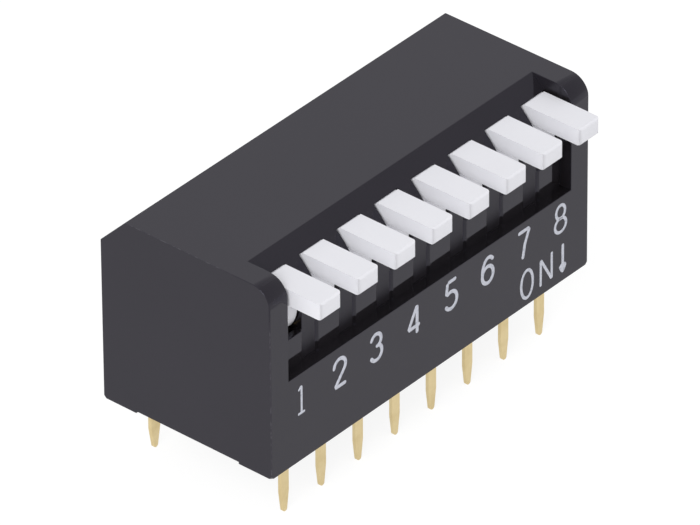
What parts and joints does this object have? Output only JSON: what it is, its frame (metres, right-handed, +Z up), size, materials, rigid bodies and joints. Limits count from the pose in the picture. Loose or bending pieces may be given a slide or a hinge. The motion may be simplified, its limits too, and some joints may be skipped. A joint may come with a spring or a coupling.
{
  "type": "dip switch",
  "caption": "Through-hole DIP switch with a glossy dark case, a row of white piano-key levers along one long side and two rows of flat solder terminals.",
  "frame": {"origin": "centre of the terminal grid, on the board surface that the case stands on", "axes": "+X along the row of levers, towards position 8; -Y towards the lever side; +Z up, away from the board"},
  "size_m": [0.022, 0.0116, 0.0134],
  "materials": {
    "case_plastic": "glossy moulded",
    "base_plastic": "satin moulded",
    "lever_plastic": "satin moulded",
    "contact_metal": "gold-plated",
    "terminal_metal": "pale gold-plated"
  },
  "bodies": {
    "housing": {"case": "case_plastic", "base": "base_plastic", "front_terminal_1": "terminal_metal", "front_terminal_2": "terminal_metal", "front_terminal_3": "terminal_metal", "front_terminal_4": "terminal_metal", "front_terminal_5": "terminal_metal", "front_terminal_6": "terminal_metal", "front_terminal_7": "terminal_metal", "front_terminal_8": "terminal_metal", "back_terminal_1": "terminal_metal", "back_terminal_2": "terminal_metal", "back_terminal_3": "terminal_metal", "back_terminal_4": "terminal_metal", "back_terminal_5": "terminal_metal", "back_terminal_6": "terminal_metal", "back_terminal_7": "terminal_metal", "back_terminal_8": "terminal_metal"},
    "lever_1_body": {"lever_1": "lever_plastic", "moving_contact_1": "contact_metal"},
    "lever_2_body": {"lever_2": "lever_plastic", "moving_contact_2": "contact_metal"},
    "lever_3_body": {"lever_3": "lever_plastic", "moving_contact_3": "contact_metal"},
    "lever_4_body": {"lever_4": "lever_plastic", "moving_contact_4": "contact_metal"},
    "lever_5_body": {"lever_5": "lever_plastic", "moving_contact_5": "contact_metal"},
    "lever_6_body": {"lever_6": "lever_plastic", "moving_contact_6": "contact_metal"},
    "lever_7_body": {"lever_7": "lever_plastic", "moving_contact_7": "contact_metal"},
    "lever_8_body": {"lever_8": "lever_plastic", "moving_contact_8": "contact_metal"}
  },
  "joints": [
    {"name": "lever_1_pivot", "type": "hinge", "parent": "housing", "child": "lever_1_body", "pos_m": [-0.00889, -0.0024, 0.0074], "axis": [1, 0, 0], "range_deg": [0, 45]},
    {"name": "lever_2_pivot", "type": "hinge", "parent": "housing", "child": "lever_2_body", "pos_m": [-0.00635, -0.0024, 0.0074], "axis": [1, 0, 0], "range_deg": [0, 45]},
    {"name": "lever_3_pivot", "type": "hinge", "parent": "housing", "child": "lever_3_body", "pos_m": [-0.00381, -0.0024, 0.0074], "axis": [1, 0, 0], "range_deg": [0, 45]},
    {"name": "lever_4_pivot", "type": "hinge", "parent": "housing", "child": "lever_4_body", "pos_m": [-0.00127, -0.0024, 0.0074], "axis": [1, 0, 0], "range_deg": [0, 45]},
    {"name": "lever_5_pivot", "type": "hinge", "parent": "housing", "child": "lever_5_body", "pos_m": [0.00127, -0.0024, 0.0074], "axis": [1, 0, 0], "range_deg": [0, 45]},
    {"name": "lever_6_pivot", "type": "hinge", "parent": "housing", "child": "lever_6_body", "pos_m": [0.00381, -0.0024, 0.0074], "axis": [1, 0, 0], "range_deg": [0, 45]},
    {"name": "lever_7_pivot", "type": "hinge", "parent": "housing", "child": "lever_7_body", "pos_m": [0.00635, -0.0024, 0.0074], "axis": [1, 0, 0], "range_deg": [0, 45]},
    {"name": "lever_8_pivot", "type": "hinge", "parent": "housing", "child": "lever_8_body", "pos_m": [0.00889, -0.0024, 0.0074], "axis": [1, 0, 0], "range_deg": [0, 45]}
  ]
}
